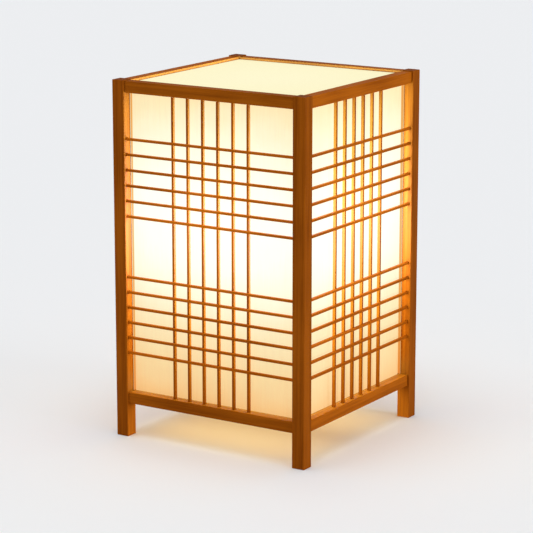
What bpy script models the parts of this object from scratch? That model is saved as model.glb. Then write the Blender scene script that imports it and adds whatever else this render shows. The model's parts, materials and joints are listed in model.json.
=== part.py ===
"""Square shoji table lamp: four posts, rails, lattice faces backed with paper, a paper top that
lifts out, and a screw-in bulb in a holder on a short stem.

The origin lies on the table under the middle of the lamp. +Z is up, -Y is the front, +X the right.
Sizes are in metres. Depths on a face are measured inwards from the front of its posts.
"""

import math

import bmesh
import bpy
from mathutils import Matrix, Vector

# Driving dimensions

WIDTH = 0.214
HEIGHT = 0.350
FIT = 0.0003

POST = 0.0132
POST_EDGE = 0.0004

RAIL_HEIGHT = 0.0112
RAIL_SET = 0.0018
RAIL_BACK = 0.0009
RAIL_EDGE = 0.0003
TOP_RAIL_DROP = 0.0008
FOOT_HEIGHT = 0.0334
TENON_THICK = 0.0044
TENON_HEIGHT = 0.007

SLAT_WIDTH = 0.0024
SLAT_DEPTH = 0.003
SLAT_SET = 0.0024
SLAT_LAP = 0.0004
SLAT_SOCKET = 0.003
ROWS_IN_GROUP = 6
ROW_PITCH = 0.015
ROW_GAP = 0.0594
ROW_DROP = 0.0025
COLUMNS = 6
COLUMN_PITCH = 0.0168

PAPER = 0.0005
PAPER_MARGIN = 0.0027

PANEL = 0.0008
PANEL_RECESS = 0.0025
PANEL_PLAY = 0.0006
LEDGE_WIDTH = 0.005
LEDGE_RISE = 0.0014

BAR_WIDTH = 0.026
BAR_THICK = 0.0065
BAR_RISE = 0.0004
BAR_TENON_WIDTH = 0.018
BAR_TENON_THICK = 0.0045
BAR_TENON_LENGTH = 0.005

STEM_RADIUS = 0.005
STEM_BORE = 0.0036
STEM_BELOW_NUT = 0.003
STEM_IN_HOLDER = 0.009
SLEEVE_WALL = 0.0012
SLEEVE_LENGTH = 0.070
WASHER_RADIUS = 0.0095
WASHER_THICK = 0.001
NUT_FLATS = 0.014
NUT_THICK = 0.004
BUSH_WALL = 0.0009
BUSH_LENGTH = 0.008
BUSH_FLANGE = 0.0015
BUSH_FLANGE_THICK = 0.0012

THREAD_RADIUS = 0.013
THREAD_PLAY = 0.0005
SHELL_WALL = 0.0005
SHELL_HEIGHT = 0.022
SHELL_FLANGE = 0.0045
HOLDER_SPACE = 0.0033
HOLDER_WALL = 0.0022
SKIRT_EDGE = 0.0008
NECK_WALL = 0.0032
NECK_HEIGHT = 0.005
CAP_SHOULDER = 0.009
CAP_RIM = 0.009
CAP_SEAT = 0.003
CORE_THICK = 0.0085
CORE_BORE = 0.0016
SKIRT_HEIGHT = 0.028
CONTACT_WIDTH = 0.005
CONTACT_SPAN = 0.013
CONTACT_RISE = 0.0035
CONTACT_THICK = 0.0006

BULB_RADIUS = 0.030
BULB_LENGTH = 0.107
BULB_WALL = 0.0009
BULB_CAP_HEIGHT = 0.0195
BULB_CAP_WALL = 0.0004
BULB_CAP_LAP = 0.006
BULB_CAP_FLANGE = 0.003
BUTTON_RADIUS = 0.005
BUTTON_THICK = 0.0012
INSULATOR_HEIGHT = 0.0035
INSULATOR_RIM = 0.001
NECK_TO_BALL_ANGLE = math.radians(35)

SIDES = 24
SMOOTH_ANGLE = math.radians(40)
MERGE_DISTANCE = 1e-6
SHOULDER_STEPS = 5
CONTACT_STEPS = 10
NECK_STEPS = 5
BALL_STEPS = 9

# Heights and depths that follow from them

top_rail_top = HEIGHT - TOP_RAIL_DROP
top_rail_bottom = top_rail_top - RAIL_HEIGHT
bottom_rail_bottom = FOOT_HEIGHT
bottom_rail_top = bottom_rail_bottom + RAIL_HEIGHT

rail_thick = POST - RAIL_SET - RAIL_BACK
rail_back = RAIL_SET + rail_thick
rail_half = WIDTH / 2 - POST - FIT
paper_front = rail_back + FIT
paper_back = paper_front + PAPER

panel_top = top_rail_top - PANEL_RECESS
panel_bottom = panel_top - PANEL
ledge_top = panel_bottom - FIT
ledge_bottom = top_rail_bottom + LEDGE_RISE

bar_bottom = bottom_rail_bottom + BAR_RISE
bar_top = bar_bottom + BAR_THICK
paper_bottom = bar_top + FIT
paper_top = ledge_top - FIT

column_front = SLAT_SET + SLAT_DEPTH - SLAT_LAP
column_back = column_front + SLAT_DEPTH

stem_hole = STEM_RADIUS + FIT
sleeve_bottom = bar_top + FIT
sleeve_top = sleeve_bottom + SLEEVE_LENGTH
washer_top = bar_bottom - FIT
nut_top = washer_top - WASHER_THICK - FIT
stem_bottom = nut_top - NUT_THICK - STEM_BELOW_NUT

shell_bore = THREAD_RADIUS + THREAD_PLAY
shell_radius = shell_bore + SHELL_WALL
holder_bore = shell_radius + HOLDER_SPACE
holder_radius = holder_bore + HOLDER_WALL
holder_bottom = sleeve_top + FIT
stem_top = holder_bottom + STEM_IN_HOLDER
core_bottom = holder_bottom + NECK_HEIGHT + CAP_SHOULDER + FIT
core_top = core_bottom + CORE_THICK
cap_top = holder_bottom + NECK_HEIGHT + CAP_SHOULDER + CAP_RIM
skirt_bottom = cap_top + FIT
skirt_top = skirt_bottom + SKIRT_HEIGHT
shell_bottom = core_top + FIT
contact_bottom = shell_bottom
contact_top = contact_bottom + CONTACT_RISE

button_bottom = contact_top + FIT
insulator_bottom = button_bottom + BUTTON_THICK + FIT
bulb_cap_bottom = insulator_bottom + INSULATOR_HEIGHT
bulb_cap_top = bulb_cap_bottom + BULB_CAP_HEIGHT
bulb_top = button_bottom + BULB_LENGTH


# Modelling helpers


def add_box(bm, low, high):
    """A box between two opposite corners."""
    size = [b - a for a, b in zip(low, high)]
    middle = [(a + b) / 2 for a, b in zip(low, high)]
    made = bmesh.ops.create_cube(bm, size=1, matrix=Matrix.Translation(middle) @ Matrix.Diagonal((*size, 1)))
    return made["verts"]


def add_prism(bm, outline, low, high):
    """An outline in X and Y, extruded from one height to another."""
    base = bm.faces.new([bm.verts.new((x, y, low)) for x, y in outline])
    raised = bmesh.ops.extrude_face_region(bm, geom=[base], use_keep_orig=True)
    tops = [item for item in raised["geom"] if isinstance(item, bmesh.types.BMVert)]
    bmesh.ops.translate(bm, verts=tops, vec=(0, 0, high - low))


def add_turned(bm, profile):
    """A profile of radius and height, turned about Z: closed, or open where it starts on the axis."""
    verts = [bm.verts.new((radius, 0, height)) for radius, height in profile]
    edges = [bm.edges.new(pair) for pair in zip(verts, verts[1:])]
    if profile[0][0] > 0:
        edges.append(bm.edges.new((verts[-1], verts[0])))
    bmesh.ops.spin(bm, geom=verts + edges, cent=(0, 0, 0), axis=(0, 0, 1), angle=2 * math.pi, steps=SIDES)
    bmesh.ops.remove_doubles(bm, verts=bm.verts, dist=MERGE_DISTANCE)
    bmesh.ops.dissolve_degenerate(bm, dist=MERGE_DISTANCE, edges=bm.edges)


def chamfer(bm, width, chosen):
    """Breaks the edges for which chosen(edge) is true."""
    edges = [edge for edge in bm.edges if chosen(edge)]
    bmesh.ops.bevel(bm, geom=edges, offset=width, offset_type="OFFSET", segments=1, affect="EDGES")


def runs_along(axis):
    """Chooses the edges that run along one axis of the piece."""

    def chosen(edge):
        run = edge.verts[1].co - edge.verts[0].co
        return math.isclose(abs(run[axis]), run.length, rel_tol=MERGE_DISTANCE)

    return chosen


def finished(bm, name):
    """The mesh of a piece, with its faces pointing out."""
    bmesh.ops.recalc_face_normals(bm, faces=bm.faces)
    mesh = bpy.data.meshes.new(name)
    bm.to_mesh(mesh)
    bm.free()
    return mesh


def combined(mesh, operation, tool, name):
    """A mesh after a Boolean with another one."""
    body = bpy.data.objects.new(name, mesh)
    other = bpy.data.objects.new(name + "_tool", tool)
    for item in (body, other):
        bpy.context.scene.collection.objects.link(item)
    step = body.modifiers.new("combine", "BOOLEAN")
    step.operation = operation
    step.solver = "EXACT"
    step.object = other
    graph = bpy.context.evaluated_depsgraph_get()
    result = bpy.data.meshes.new_from_object(body.evaluated_get(graph))
    for item in (body, other):
        bpy.data.objects.remove(item)
    result.name = name
    return result


def material(name, colour, roughness, metallic=0.0):
    """A Principled material of its own for one kind of piece."""
    made = bpy.data.materials.new(name)
    made.use_nodes = True
    shader = made.node_tree.nodes["Principled BSDF"]
    shader.inputs["Base Color"].default_value = (*colour, 1)
    shader.inputs["Roughness"].default_value = roughness
    shader.inputs["Metallic"].default_value = metallic
    return made


def place(name, mesh, look, quarter_turns=0, round_piece=False):
    """Puts a piece in the scene, turned about the lamp's middle."""
    if not mesh.materials:
        mesh.materials.append(look)
    if round_piece:
        mesh.shade_smooth()
        mesh.set_sharp_from_angle(angle=SMOOTH_ANGLE)
    piece = bpy.data.objects.new(name, mesh)
    piece.rotation_euler.z = quarter_turns * math.pi / 2
    piece.parent = lamp
    bpy.context.scene.collection.objects.link(piece)
    return piece


def place_on_axis(name, profile, look, origin=0.0):
    """Turns a profile and puts it on the stem's axis, with its own origin at a given height."""
    bm = bmesh.new()
    add_turned(bm, [(radius, height - origin) for radius, height in profile])
    piece = place(name, finished(bm, name), look, round_piece=True)
    piece.location.z = origin
    return piece


def front(depth):
    """Y of a depth behind the front of the front posts."""
    return -WIDTH / 2 + depth


# Places of the slats


def row_heights():
    """Heights of the horizontal slats: two groups about the middle of the face."""
    middle = (top_rail_bottom + bottom_rail_top) / 2 - ROW_DROP
    steps = [ROW_GAP / 2 + step * ROW_PITCH for step in range(ROWS_IN_GROUP)]
    heights = [middle + step for step in steps] + [middle - step for step in steps]
    low = bottom_rail_top + SLAT_WIDTH
    high = top_rail_bottom - SLAT_WIDTH
    return [height for height in heights if low < height < high]


def column_places():
    """X of the upright slats: one group in the middle of the face."""
    places = [(step - (COLUMNS - 1) / 2) * COLUMN_PITCH for step in range(COLUMNS)]
    return [x for x in places if abs(x) < rail_half - SLAT_WIDTH]


# Scene

for old in list(bpy.data.objects):
    bpy.data.objects.remove(old)

lamp = bpy.data.objects.new("lamp", None)
bpy.context.scene.collection.objects.link(lamp)

FACES = ("front", "right", "back", "left")
CORNERS = ("front_right", "back_right", "back_left", "front_left")

post_wood = material("post_wood", (0.26, 0.083, 0.012), 0.38)
rail_wood = material("rail_wood", (0.28, 0.092, 0.014), 0.38)
slat_wood = material("slat_wood", (0.27, 0.087, 0.012), 0.42)
ledge_wood = material("ledge_wood", (0.30, 0.13, 0.04), 0.5)
bar_wood = material("bar_wood", (0.29, 0.11, 0.03), 0.5)
side_paper = material("side_paper", (0.93, 0.88, 0.76), 0.8)
top_paper = material("top_paper", (0.94, 0.90, 0.78), 0.7)
stem_steel = material("stem_steel", (0.55, 0.53, 0.48), 0.35, 1.0)
sleeve_brass = material("sleeve_brass", (0.60, 0.43, 0.17), 0.3, 1.0)
nut_steel = material("nut_steel", (0.50, 0.49, 0.46), 0.4, 1.0)
bush_plastic = material("bush_plastic", (0.03, 0.03, 0.03), 0.5)
holder_plastic = material("holder_plastic", (0.02, 0.02, 0.02), 0.35)
core_ceramic = material("core_ceramic", (0.80, 0.77, 0.70), 0.5)
shell_brass = material("shell_brass", (0.62, 0.46, 0.18), 0.35, 1.0)
contact_bronze = material("contact_bronze", (0.55, 0.34, 0.15), 0.35, 1.0)
bulb_opal = material("bulb_opal", (0.92, 0.91, 0.88), 0.3)
cap_nickel = material("cap_nickel", (0.62, 0.60, 0.55), 0.3, 1.0)
insulator_glass = material("insulator_glass", (0.015, 0.015, 0.018), 0.2)
button_solder = material("button_solder", (0.60, 0.59, 0.57), 0.35, 1.0)

# Posts: square, with broken edges, mortised on two sides for the rails and the row slats

tenon_front = RAIL_SET + (rail_thick - TENON_THICK) / 2
tenon_back = tenon_front + TENON_THICK


def tenon_heights(rail_bottom):
    """Bottom and top of the tenon in the middle of a rail's height."""
    low = rail_bottom + (RAIL_HEIGHT - TENON_HEIGHT) / 2
    return low, low + TENON_HEIGHT


def add_corner_mortise(bm, rail_bottom):
    """The L-shaped mortise in the front right post where two mitred tenons meet."""
    near = WIDTH / 2 - tenon_front + FIT
    far = WIDTH / 2 - tenon_back - FIT
    mouth = WIDTH / 2 - POST - POST_EDGE
    outline = [(near, -near), (near, -mouth), (far, -mouth), (far, -far), (mouth, -far), (mouth, -near)]
    low, high = tenon_heights(rail_bottom)
    add_prism(bm, outline, low - FIT, high + FIT)


def add_row_sockets(bm):
    """Blind sockets on both inner sides of the front right post for the ends of the row slats."""
    inner = WIDTH / 2 - POST
    low_depth = WIDTH / 2 - SLAT_SET - SLAT_DEPTH - FIT
    high_depth = WIDTH / 2 - SLAT_SET + FIT
    half = SLAT_WIDTH / 2 + FIT
    for height in row_heights():
        low, high = height - half, height + half
        add_box(bm, (inner - POST_EDGE, -high_depth, low), (inner + SLAT_SOCKET, -low_depth, high))
        add_box(bm, (low_depth, -inner - SLAT_SOCKET, low), (high_depth, -inner + POST_EDGE, high))


def post_mesh():
    bm = bmesh.new()
    outside = WIDTH / 2
    inside = outside - POST
    add_box(bm, (inside, -outside, 0), (outside, -inside, HEIGHT))
    chamfer(bm, POST_EDGE, lambda edge: True)
    blank = finished(bm, "post_blank")
    cuts = bmesh.new()
    add_corner_mortise(cuts, bottom_rail_bottom)
    add_corner_mortise(cuts, top_rail_bottom)
    add_row_sockets(cuts)
    return combined(blank, "DIFFERENCE", finished(cuts, "post_cuts"), "post")


post = post_mesh()
for turns, corner in enumerate(CORNERS):
    place("post_" + corner, post, post_wood, turns)

# Rails: set back from the posts, with a mitred tenon at each end and sockets for the upright slats


def rail_mesh(name, rail_bottom, socket_mouth, socket_floor, bar_mortise=False):
    bm = bmesh.new()
    rail_top = rail_bottom + RAIL_HEIGHT
    add_box(bm, (-rail_half, front(RAIL_SET), rail_bottom), (rail_half, front(rail_back), rail_top))
    chamfer(bm, RAIL_EDGE, runs_along(0))
    blank = finished(bm, name + "_blank")

    tongue = bmesh.new()
    front_half = WIDTH / 2 - tenon_front - FIT
    back_half = WIDTH / 2 - tenon_back - FIT
    outline = [(-front_half, front(tenon_front)), (front_half, front(tenon_front))]
    outline += [(back_half, front(tenon_back)), (-back_half, front(tenon_back))]
    add_prism(tongue, outline, *tenon_heights(rail_bottom))
    tenoned = combined(blank, "UNION", finished(tongue, name + "_tongue"), name + "_tenoned")

    cuts = bmesh.new()
    half = SLAT_WIDTH / 2 + FIT
    low, high = sorted((socket_mouth, socket_floor))
    for x in column_places():
        add_box(cuts, (x - half, front(column_front - FIT), low), (x + half, front(column_back + FIT), high))
    if bar_mortise:
        add_bar_mortise(cuts)
    return combined(tenoned, "DIFFERENCE", finished(cuts, name + "_cuts"), name)


def add_bar_mortise(bm):
    """The blind mortise in the back of a bottom rail for the end of the holder bar."""
    half = BAR_TENON_WIDTH / 2 + FIT
    middle = (bar_bottom + bar_top) / 2
    rise = BAR_TENON_THICK / 2 + FIT
    floor = rail_back - BAR_TENON_LENGTH
    mouth = rail_back + RAIL_EDGE
    add_box(bm, (-half, front(floor), middle - rise), (half, front(mouth), middle + rise))


top_rail = rail_mesh("top_rail", top_rail_bottom, top_rail_bottom - RAIL_EDGE, top_rail_bottom + SLAT_SOCKET)
socket_mouth = bottom_rail_top + RAIL_EDGE
socket_floor = bottom_rail_top - SLAT_SOCKET
bottom_rail = rail_mesh("bottom_rail", bottom_rail_bottom, socket_mouth, socket_floor)
bar_rail = rail_mesh("bar_rail", bottom_rail_bottom, socket_mouth, socket_floor, bar_mortise=True)
for turns, face in enumerate(FACES):
    place("top_rail_" + face, top_rail, rail_wood, turns)
    carries_bar = face in ("left", "right")
    place("bottom_rail_" + face, bar_rail if carries_bar else bottom_rail, rail_wood, turns)

# Lattices: row slats let into the posts, upright slats housed behind them and let into the rails


def lattice_mesh():
    rows = bmesh.new()
    row_half = WIDTH / 2 - POST + SLAT_SOCKET - FIT
    for height in row_heights():
        low = (-row_half, front(SLAT_SET), height - SLAT_WIDTH / 2)
        high = (row_half, front(SLAT_SET + SLAT_DEPTH), height + SLAT_WIDTH / 2)
        add_box(rows, low, high)
    columns = bmesh.new()
    foot = bottom_rail_top - SLAT_SOCKET + FIT
    head = top_rail_bottom + SLAT_SOCKET - FIT
    for x in column_places():
        low = (x - SLAT_WIDTH / 2, front(column_front), foot)
        high = (x + SLAT_WIDTH / 2, front(column_back), head)
        add_box(columns, low, high)
    return combined(finished(rows, "rows"), "UNION", finished(columns, "columns"), "lattice")


lattice = lattice_mesh()
for turns, face in enumerate(FACES):
    place("lattice_" + face, lattice, slat_wood, turns)

# Paper panels: a sheet behind the rails, with margins turned forward along the posts between the rails


def paper_mesh():
    outer = WIDTH / 2 - max(POST, paper_back) - FIT
    inner = outer - PAPER
    face = front(paper_front)
    back = front(paper_back)
    sheet = bmesh.new()
    add_box(sheet, (-outer, face, paper_bottom), (outer, back, paper_top))
    margins = bmesh.new()
    low = bottom_rail_top + FIT
    high = top_rail_bottom - FIT
    tip = front(paper_front - PAPER_MARGIN)
    root = (face + back) / 2
    add_box(margins, (-outer, tip, low), (-inner, root, high))
    add_box(margins, (inner, tip, low), (outer, root, high))
    return combined(finished(sheet, "sheet"), "UNION", finished(margins, "margins"), "paper")


paper = paper_mesh()
for turns, face in enumerate(FACES):
    place("paper_" + face, paper, side_paper, turns)

# Ledges: mitred battens inside the top rails, over the paper's upper edge


def ledge_mesh():
    bm = bmesh.new()
    outer = paper_back + FIT
    inner = outer + LEDGE_WIDTH
    half = WIDTH / 2 - max(POST, outer) - FIT
    outline = [(-half, front(outer)), (half, front(outer))]
    outline += [(half - LEDGE_WIDTH, front(inner)), (-half + LEDGE_WIDTH, front(inner))]
    add_prism(bm, outline, ledge_bottom, ledge_top)
    return finished(bm, "ledge")


ledge = ledge_mesh()
for turns, face in enumerate(FACES):
    place("top_ledge_" + face, ledge, ledge_wood, turns)

# Top panel: stiff laminated paper laid on the ledges, notched round the posts' inner corners


def top_panel_mesh():
    bm = bmesh.new()
    edge = WIDTH / 2 - rail_back - PANEL_PLAY
    notch = WIDTH / 2 - POST - PANEL_PLAY
    outline = []
    for turns in range(4):
        turn = Matrix.Rotation(turns * math.pi / 2, 2)
        outline += [turn @ Vector(point) for point in ((notch, -edge), (notch, -notch), (edge, -notch))]
    add_prism(bm, outline, 0, PANEL)
    return finished(bm, "top_panel")


top_panel = place("top_panel", top_panel_mesh(), top_paper)
top_panel.location.z = panel_bottom

# Holder bar: a flat batten across the open bottom, tenoned into the left and right bottom rails


def bar_mesh():
    body = bmesh.new()
    half = WIDTH / 2 - rail_back - FIT
    add_box(body, (-half, -BAR_WIDTH / 2, bar_bottom), (half, BAR_WIDTH / 2, bar_top))
    chamfer(body, RAIL_EDGE, runs_along(0))
    blank = finished(body, "bar_blank")

    tongue = bmesh.new()
    tip = WIDTH / 2 - rail_back + BAR_TENON_LENGTH - FIT
    wide = BAR_TENON_WIDTH / 2
    middle = (bar_bottom + bar_top) / 2
    rise = BAR_TENON_THICK / 2
    add_box(tongue, (-tip, -wide, middle - rise), (tip, wide, middle + rise))
    tenoned = combined(blank, "UNION", finished(tongue, "bar_tongue"), "bar_tenoned")
    return combined(tenoned, "DIFFERENCE", drill_mesh(stem_hole, bar_bottom, bar_top), "holder_bar")


def drill_mesh(radius, low, high):
    """A round cutter on the stem's axis, longer than the wall between two heights."""
    bm = bmesh.new()
    middle = Matrix.Translation((0, 0, (low + high) / 2))
    depth = 2 * (high - low)
    bmesh.ops.create_cone(
        bm, cap_ends=True, segments=SIDES, radius1=radius, radius2=radius, depth=depth, matrix=middle
    )
    return finished(bm, "drill")


place("holder_bar", bar_mesh(), bar_wood)

# Stem: a threaded tube through the bar, with a sleeve that lifts the holder, a washer, a nut and a bush


def ring(inner, outer, low, high):
    """Profile of a plain tube or washer."""
    return [(inner, low), (outer, low), (outer, high), (inner, high)]


def nut_mesh():
    bm = bmesh.new()
    reach = NUT_FLATS / 2 / math.cos(math.pi / 6)
    angles = [step * math.pi / 3 for step in range(6)]
    outline = [(reach * math.cos(angle), reach * math.sin(angle)) for angle in angles]
    low, high = nut_top - NUT_THICK, nut_top
    add_prism(bm, outline, low, high)
    return combined(finished(bm, "nut_blank"), "DIFFERENCE", drill_mesh(stem_hole, low, high), "stem_nut")


def bush_profile():
    outer = STEM_BORE - FIT
    bore = outer - BUSH_WALL
    flange = STEM_BORE + BUSH_FLANGE
    flange_top = stem_bottom - FIT
    flange_bottom = flange_top - BUSH_FLANGE_THICK
    top = stem_bottom + BUSH_LENGTH
    return ring(bore, flange, flange_bottom, flange_top)[:3] + [(outer, flange_top), (outer, top), (bore, top)]


washer_bottom = washer_top - WASHER_THICK
place_on_axis("stem_tube", ring(STEM_BORE, STEM_RADIUS, stem_bottom, stem_top), stem_steel)
place_on_axis("stem_sleeve", ring(stem_hole, stem_hole + SLEEVE_WALL, sleeve_bottom, sleeve_top), sleeve_brass)
place_on_axis("stem_washer", ring(stem_hole, WASHER_RADIUS, washer_bottom, washer_top), nut_steel)
place("stem_nut", nut_mesh(), nut_steel)
place_on_axis("cord_bush", bush_profile(), bush_plastic)

# Lamp holder: a domed cap on the stem, an insulating core, a screw shell, a sprung contact and a skirt


def shoulder(inner, outer, low, high):
    """A quarter of an ellipse, rising outwards from a level start to an upright end."""
    angles = [step / SHOULDER_STEPS * math.pi / 2 for step in range(SHOULDER_STEPS + 1)]
    return [(inner + (outer - inner) * math.sin(a), high - (high - low) * math.cos(a)) for a in angles]


def holder_cap_profile():
    neck_top = holder_bottom + NECK_HEIGHT
    seat = neck_top + CAP_SHOULDER
    neck = stem_hole + NECK_WALL
    outside = [(neck, holder_bottom)] + shoulder(neck, holder_radius, neck_top, seat)
    inside = shoulder(stem_hole, holder_bore - CAP_SEAT, neck_top + HOLDER_WALL, seat)
    rim = [(holder_radius, cap_top), (holder_bore, cap_top), (holder_bore, seat)]
    return [(stem_hole, holder_bottom)] + outside + rim + inside[::-1]


def holder_skirt_profile():
    wall = ring(holder_bore, holder_radius, skirt_bottom, skirt_top - SKIRT_EDGE)[:3]
    return wall + [(holder_radius - SKIRT_EDGE, skirt_top), (holder_bore, skirt_top)]


def flanged_shell(outer, wall, flange, low, high):
    """Profile of a sheet shell with its lower edge turned inwards."""
    edge = outer - flange
    outside = [(edge, low), (outer, low), (outer, high)]
    return outside + [(outer - wall, high), (outer - wall, low + wall), (edge, low + wall)]


def contact_mesh():
    """A springy strip bowed up in the middle to meet the bulb."""
    bm = bmesh.new()
    half = CONTACT_SPAN / 2
    places = [-half + CONTACT_SPAN * step / CONTACT_STEPS for step in range(CONTACT_STEPS + 1)]
    bow = CONTACT_RISE - CONTACT_THICK
    under = [(x, contact_bottom + bow * math.cos(math.pi * x / CONTACT_SPAN) ** 2) for x in places]
    over = [(x, height + CONTACT_THICK) for x, height in under]
    add_prism(bm, under + over[::-1], -CONTACT_WIDTH / 2, CONTACT_WIDTH / 2)
    bmesh.ops.rotate(bm, verts=bm.verts, matrix=Matrix.Rotation(math.pi / 2, 3, "X"))
    return finished(bm, "holder_contact")


shell_top = shell_bottom + SHELL_HEIGHT
shell_profile = flanged_shell(shell_radius, SHELL_WALL, SHELL_FLANGE, shell_bottom, shell_top)
place_on_axis("holder_cap", holder_cap_profile(), holder_plastic)
place_on_axis("holder_core", ring(CORE_BORE, holder_bore - FIT, core_bottom, core_top), core_ceramic)
place_on_axis("holder_screw_shell", shell_profile, shell_brass)
place("holder_contact", contact_mesh(), contact_bronze)
place_on_axis("holder_skirt", holder_skirt_profile(), holder_plastic)

# Bulb: an opal glass envelope cemented in a screw cap, with an insulator and a contact button below


def curve(start, end, start_slope, end_slope):
    """Radii between two (radius, height) points that leave and arrive with given slopes."""
    (r0, z0), (r1, z1) = start, end
    points = []
    for step in range(1, NECK_STEPS):
        t = step / NECK_STEPS
        rise = z1 - z0
        blend = r0 * (2 * t**3 - 3 * t**2 + 1) + r1 * (3 * t**2 - 2 * t**3)
        lean = rise * (start_slope * (t**3 - 2 * t**2 + t) + end_slope * (t**3 - t**2))
        points.append((blend + lean, z0 + rise * t))
    return points


def envelope(inset):
    """The envelope's profile from its neck to the axis, drawn in by a given amount."""
    neck = THREAD_RADIUS - BULB_CAP_WALL - FIT - inset
    ball = BULB_RADIUS - inset
    centre = bulb_top - BULB_RADIUS
    low_angle = -NECK_TO_BALL_ANGLE
    span = math.pi / 2 - low_angle
    angles = [low_angle + span * step / BALL_STEPS for step in range(BALL_STEPS)]
    arc = [(ball * math.cos(angle), centre + ball * math.sin(angle)) for angle in angles]
    throat = (neck, bulb_cap_top + FIT)
    flare = curve(throat, arc[0], 0, math.tan(NECK_TO_BALL_ANGLE))
    return [(neck, bulb_cap_top - BULB_CAP_LAP), throat] + flare + arc + [(0, centre + ball)]


insulator_top = bulb_cap_bottom - FIT
insulator = [(0, insulator_bottom), (BUTTON_RADIUS + INSULATOR_RIM, insulator_bottom)]
insulator += [(THREAD_RADIUS - INSULATOR_RIM, insulator_top), (0, insulator_top)]
button_top = button_bottom + BUTTON_THICK
button = [(0, button_bottom), (BUTTON_RADIUS, button_bottom), (BUTTON_RADIUS, button_top), (0, button_top)]
cap_profile = flanged_shell(THREAD_RADIUS, BULB_CAP_WALL, BULB_CAP_FLANGE, bulb_cap_bottom, bulb_cap_top)
place_on_axis("bulb_glass", envelope(0)[::-1] + envelope(BULB_WALL), bulb_opal, button_bottom)
place_on_axis("bulb_cap", cap_profile, cap_nickel, button_bottom)
place_on_axis("bulb_insulator", insulator, insulator_glass, button_bottom)
place_on_axis("bulb_contact", button, button_solder, button_bottom)
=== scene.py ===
import json
import math

import bpy
from mathutils import Matrix, Vector

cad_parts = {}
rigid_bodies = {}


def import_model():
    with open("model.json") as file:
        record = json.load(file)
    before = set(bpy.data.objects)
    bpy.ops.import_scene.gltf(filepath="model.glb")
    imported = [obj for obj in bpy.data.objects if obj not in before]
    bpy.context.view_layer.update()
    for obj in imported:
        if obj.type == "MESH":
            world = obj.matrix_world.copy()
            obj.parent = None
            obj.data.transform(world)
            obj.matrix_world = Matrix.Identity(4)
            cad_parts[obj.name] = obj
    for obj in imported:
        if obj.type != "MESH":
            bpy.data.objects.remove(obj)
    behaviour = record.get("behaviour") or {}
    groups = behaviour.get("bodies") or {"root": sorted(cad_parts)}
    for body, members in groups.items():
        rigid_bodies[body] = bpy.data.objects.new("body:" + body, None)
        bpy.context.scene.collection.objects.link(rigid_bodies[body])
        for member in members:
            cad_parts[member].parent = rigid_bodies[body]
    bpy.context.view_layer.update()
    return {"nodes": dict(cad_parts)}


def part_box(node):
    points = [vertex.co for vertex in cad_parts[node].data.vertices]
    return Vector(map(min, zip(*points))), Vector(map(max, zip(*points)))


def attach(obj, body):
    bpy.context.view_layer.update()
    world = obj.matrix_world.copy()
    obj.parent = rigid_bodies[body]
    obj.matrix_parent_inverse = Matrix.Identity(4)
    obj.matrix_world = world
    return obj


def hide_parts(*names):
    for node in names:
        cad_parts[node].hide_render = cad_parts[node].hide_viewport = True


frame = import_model()

# Camera
# It stands at the photograph's angle, to the right of the front face and above the lamp's top.
# Its long lens keeps the posts nearly parallel.
CAMERA_PLACE = (1.176913, -1.858937, 0.665505)
CAMERA_TURN = math.radians(32.381)
CAMERA_TILT = math.radians(90 - 12.917)
LENS_MM = 156.05
SENSOR_MM = 36
bpy.ops.object.camera_add(location=CAMERA_PLACE, rotation=(CAMERA_TILT, 0, CAMERA_TURN))
camera = bpy.context.object
camera.data.lens = LENS_MM
camera.data.sensor_width = SENSOR_MM
bpy.context.scene.camera = camera
bpy.context.scene.view_settings.view_transform = "Standard"

# Posts
# Four square uprights of straight-grained wood, planed, stained honey brown and lacquered to a satin sheen.
# Their edges are eased, and their sawn ends, top and bottom, have drunk more of the stain.
FACES = ("front", "right", "back", "left")
CORNERS = ("front_right", "back_right", "back_left", "front_left")
X, Y, Z = range(3)
FACING = 0.9
WOOD_LIGHT = (0.311, 0.0776, 0.0037)
WOOD_DARK = (0.195, 0.044, 0.002)
LIGHT_TONE = 0.59
DARK_TONE = 0.41
END_GRAIN = (0.45, 0.38, 0.35)
END_GRAIN_AMOUNT = 0.55
GRAIN_STRETCH = 0.02
BAND_SCALE = 260.0
BAND_ROUGHNESS = 0.6
BAND_SHARE = 0.55
FIBRE_SCALE = 1500.0
FIBRE_SHARE = 0.25
FIBRE_RELIEF = 0.3
FIBRE_DEPTH = 0.0002
DRIFT_SCALE = 17.0
DRIFT_SHARE = 0.2
DULL_TONE = 0.35
DULL_LACQUER = 0.5
SATIN_TONE = 0.65
SATIN_LACQUER = 0.38
LACQUER_SPECULAR = 0.006
# A Mix node's sockets for colours go by number, because their names repeat.
MIX_COLOUR = 6
MIX_TINT = 7
MIX_RESULT = 2


def feed(tree, socket, value):
    """Gives a socket a value, or links another node's output to it."""
    if isinstance(value, bpy.types.NodeSocket):
        tree.links.new(value, socket)
    else:
        socket.default_value = value


def add_node(tree, kind, settings=None, **inputs):
    """A shader node with its settings and inputs: an input is a value or another node's output."""
    made = tree.nodes.new("ShaderNode" + kind)
    for name, value in (settings or {}).items():
        setattr(made, name, value)
    for name, value in inputs.items():
        feed(tree, made.inputs[name.replace("_", " ")], value)
    return made


def add_noise(tree, place, scale, detail=2.0, **more):
    """A cloudy pattern at a scale in cells to the metre."""
    return add_node(tree, "TexNoise", Vector=place, Scale=scale, Detail=detail, **more).outputs["Fac"]


def object_place(tree):
    """The place of a point in the lamp."""
    return add_node(tree, "TexCoord").outputs["Object"]


def stretched(tree, place, *scale):
    """A place scaled along each axis."""
    return add_node(tree, "Mapping", Vector=place, Scale=scale).outputs["Vector"]


def surface_normal(tree):
    """The three parts of a surface's normal."""
    return add_node(tree, "SeparateXYZ", Vector=add_node(tree, "NewGeometry").outputs["Normal"]).outputs


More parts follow.
